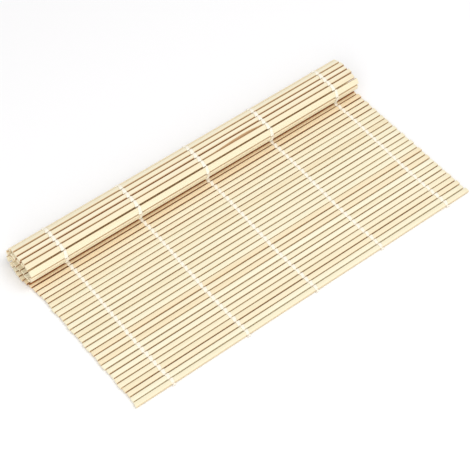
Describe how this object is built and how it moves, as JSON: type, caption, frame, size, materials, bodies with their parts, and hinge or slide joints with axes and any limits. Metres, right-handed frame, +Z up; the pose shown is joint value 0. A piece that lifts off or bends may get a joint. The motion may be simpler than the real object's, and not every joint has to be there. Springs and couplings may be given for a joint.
{
  "type": "sushi rolling mat",
  "caption": "Bamboo sushi rolling mat: flat slats bound by rows of twined cotton yarn, with the far end rolled up on itself and the front ready to roll.",
  "frame": {"origin": "on the table, under the middle of the mat's box, roll included", "axes": "+X along the slats, -Y towards the flat front edge, +Y towards the roll, +Z up"},
  "size_m": [0.24, 0.1266, 0.0164],
  "materials": {
    "bamboo": "planed and unvarnished",
    "cotton": "twined cotton yarn"
  },
  "bodies": {
    "bed": {"bed_slats": "bamboo", "bed_yarn": "cotton"},
    "front_slat_21": {"front_slat_21": "bamboo", "front_yarn_21": "cotton"},
    "front_slat_20": {"front_slat_20": "bamboo", "front_yarn_20": "cotton"},
    "front_slat_19": {"front_slat_19": "bamboo", "front_yarn_19": "cotton"},
    "front_slat_18": {"front_slat_18": "bamboo", "front_yarn_18": "cotton"},
    "front_slat_17": {"front_slat_17": "bamboo", "front_yarn_17": "cotton"},
    "front_slat_16": {"front_slat_16": "bamboo", "front_yarn_16": "cotton"},
    "front_slat_15": {"front_slat_15": "bamboo", "front_yarn_15": "cotton"},
    "front_slat_14": {"front_slat_14": "bamboo", "front_yarn_14": "cotton"},
    "front_slat_13": {"front_slat_13": "bamboo", "front_yarn_13": "cotton"},
    "front_slat_12": {"front_slat_12": "bamboo", "front_yarn_12": "cotton"},
    "front_slat_11": {"front_slat_11": "bamboo", "front_yarn_11": "cotton"},
    "front_slat_10": {"front_slat_10": "bamboo", "front_yarn_10": "cotton"},
    "front_slat_09": {"front_slat_09": "bamboo", "front_yarn_09": "cotton"},
    "front_slat_08": {"front_slat_08": "bamboo", "front_yarn_08": "cotton"},
    "front_slat_07": {"front_slat_07": "bamboo", "front_yarn_07": "cotton"},
    "front_slat_06": {"front_slat_06": "bamboo", "front_yarn_06": "cotton"},
    "front_slat_05": {"front_slat_05": "bamboo", "front_yarn_05": "cotton"},
    "front_slat_04": {"front_slat_04": "bamboo", "front_yarn_04": "cotton"},
    "front_slat_03": {"front_slat_03": "bamboo", "front_yarn_03": "cotton"},
    "front_slat_02": {"front_slat_02": "bamboo", "front_yarn_02": "cotton"},
    "front_slat_01": {"front_slat_01": "bamboo", "front_yarn_01": "cotton", "front_knots": "cotton"},
    "roll_slat_01": {"roll_slat_01": "bamboo", "roll_yarn_01": "cotton"},
    "roll_slat_02": {"roll_slat_02": "bamboo", "roll_yarn_02": "cotton"},
    "roll_slat_03": {"roll_slat_03": "bamboo", "roll_yarn_03": "cotton"},
    "roll_slat_04": {"roll_slat_04": "bamboo", "roll_yarn_04": "cotton"},
    "roll_slat_05": {"roll_slat_05": "bamboo", "roll_yarn_05": "cotton"},
    "core": {"core_slats": "bamboo", "core_yarn": "cotton", "core_knots": "cotton"}
  },
  "joints": [
    {"name": "front_fold_21", "type": "hinge", "parent": "bed", "child": "front_slat_21", "pos_m": [0, 0.01516, 0.00212], "axis": [-1, 0, 0], "range_deg": [0, 11.2]},
    {"name": "front_fold_20", "type": "hinge", "parent": "front_slat_21", "child": "front_slat_20", "pos_m": [0, 0.01146, 0.00212], "axis": [-1, 0, 0], "range_deg": [0, 22.7]},
    {"name": "front_fold_19", "type": "hinge", "parent": "front_slat_20", "child": "front_slat_19", "pos_m": [0, 0.00776, 0.00212], "axis": [-1, 0, 0], "range_deg": [0, 23.2]},
    {"name": "front_fold_18", "type": "hinge", "parent": "front_slat_19", "child": "front_slat_18", "pos_m": [0, 0.00406, 0.00212], "axis": [-1, 0, 0], "range_deg": [0, 23.7]},
    {"name": "front_fold_17", "type": "hinge", "parent": "front_slat_18", "child": "front_slat_17", "pos_m": [0, 0.00036, 0.00212], "axis": [-1, 0, 0], "range_deg": [0, 24.2]},
    {"name": "front_fold_16", "type": "hinge", "parent": "front_slat_17", "child": "front_slat_16", "pos_m": [0, -0.00334, 0.00212], "axis": [-1, 0, 0], "range_deg": [0, 24.8]},
    {"name": "front_fold_15", "type": "hinge", "parent": "front_slat_16", "child": "front_slat_15", "pos_m": [0, -0.00704, 0.00212], "axis": [-1, 0, 0], "range_deg": [0, 25.4]},
    {"name": "front_fold_14", "type": "hinge", "parent": "front_slat_15", "child": "front_slat_14", "pos_m": [0, -0.01074, 0.00212], "axis": [-1, 0, 0], "range_deg": [0, 26]},
    {"name": "front_fold_13", "type": "hinge", "parent": "front_slat_14", "child": "front_slat_13", "pos_m": [0, -0.01444, 0.00212], "axis": [-1, 0, 0], "range_deg": [0, 26.7]},
    {"name": "front_fold_12", "type": "hinge", "parent": "front_slat_13", "child": "front_slat_12", "pos_m": [0, -0.01814, 0.00212], "axis": [-1, 0, 0], "range_deg": [0, 27.5]},
    {"name": "front_fold_11", "type": "hinge", "parent": "front_slat_12", "child": "front_slat_11", "pos_m": [0, -0.02184, 0.00212], "axis": [-1, 0, 0], "range_deg": [0, 28.3]},
    {"name": "front_fold_10", "type": "hinge", "parent": "front_slat_11", "child": "front_slat_10", "pos_m": [0, -0.02554, 0.00212], "axis": [-1, 0, 0], "range_deg": [0, 29.2]},
    {"name": "front_fold_09", "type": "hinge", "parent": "front_slat_10", "child": "front_slat_09", "pos_m": [0, -0.02924, 0.00212], "axis": [-1, 0, 0], "range_deg": [0, 30.2]},
    {"name": "front_fold_08", "type": "hinge", "parent": "front_slat_09", "child": "front_slat_08", "pos_m": [0, -0.03294, 0.00212], "axis": [-1, 0, 0], "range_deg": [0, 31.3]},
    {"name": "front_fold_07", "type": "hinge", "parent": "front_slat_08", "child": "front_slat_07", "pos_m": [0, -0.03664, 0.00212], "axis": [-1, 0, 0], "range_deg": [0, 32.5]},
    {"name": "front_fold_06", "type": "hinge", "parent": "front_slat_07", "child": "front_slat_06", "pos_m": [0, -0.04034, 0.00212], "axis": [-1, 0, 0], "range_deg": [0, 33.9]},
    {"name": "front_fold_05", "type": "hinge", "parent": "front_slat_06", "child": "front_slat_05", "pos_m": [0, -0.04404, 0.00212], "axis": [-1, 0, 0], "range_deg": [0, 35.4]},
    {"name": "front_fold_04", "type": "hinge", "parent": "front_slat_05", "child": "front_slat_04", "pos_m": [0, -0.04774, 0.00212], "axis": [-1, 0, 0], "range_deg": [0, 37.3]},
    {"name": "front_fold_03", "type": "hinge", "parent": "front_slat_04", "child": "front_slat_03", "pos_m": [0, -0.05144, 0.00212], "axis": [-1, 0, 0], "range_deg": [0, 39.4]},
    {"name": "front_fold_02", "type": "hinge", "parent": "front_slat_03", "child": "front_slat_02", "pos_m": [0, -0.05514, 0.00212], "axis": [-1, 0, 0], "range_deg": [0, 41.9]},
    {"name": "front_fold_01", "type": "hinge", "parent": "front_slat_02", "child": "front_slat_01", "pos_m": [0, -0.05884, 0.00212], "axis": [-1, 0, 0], "range_deg": [0, 45.1]},
    {"name": "roll_fold_01", "type": "hinge", "parent": "bed", "child": "roll_slat_01", "pos_m": [0, 0.05586, 0.00212], "axis": [-1, 0, 0], "range_deg": [0, 23.4]},
    {"name": "roll_fold_02", "type": "hinge", "parent": "roll_slat_01", "child": "roll_slat_02", "pos_m": [0, 0.05926, 0.00359], "axis": [-1, 0, 0], "range_deg": [0, 35.33]},
    {"name": "roll_fold_03", "type": "hinge", "parent": "roll_slat_02", "child": "roll_slat_03", "pos_m": [0, 0.06118, 0.00675], "axis": [-1, 0, 0], "range_deg": [0, 35.33]},
    {"name": "roll_fold_04", "type": "hinge", "parent": "roll_slat_03", "child": "roll_slat_04", "pos_m": [0, 0.06092, 0.01044], "axis": [-1, 0, 0], "range_deg": [0, 35.33]},
    {"name": "roll_fold_05", "type": "hinge", "parent": "roll_slat_04", "child": "roll_slat_05", "pos_m": [0, 0.05857, 0.0133], "axis": [-1, 0, 0], "range_deg": [0, 35.33]},
    {"name": "roll_fold_06", "type": "hinge", "parent": "roll_slat_05", "child": "core", "pos_m": [0, 0.055, 0.01428], "axis": [-1, 0, 0], "range_deg": [0, 15.28]}
  ]
}
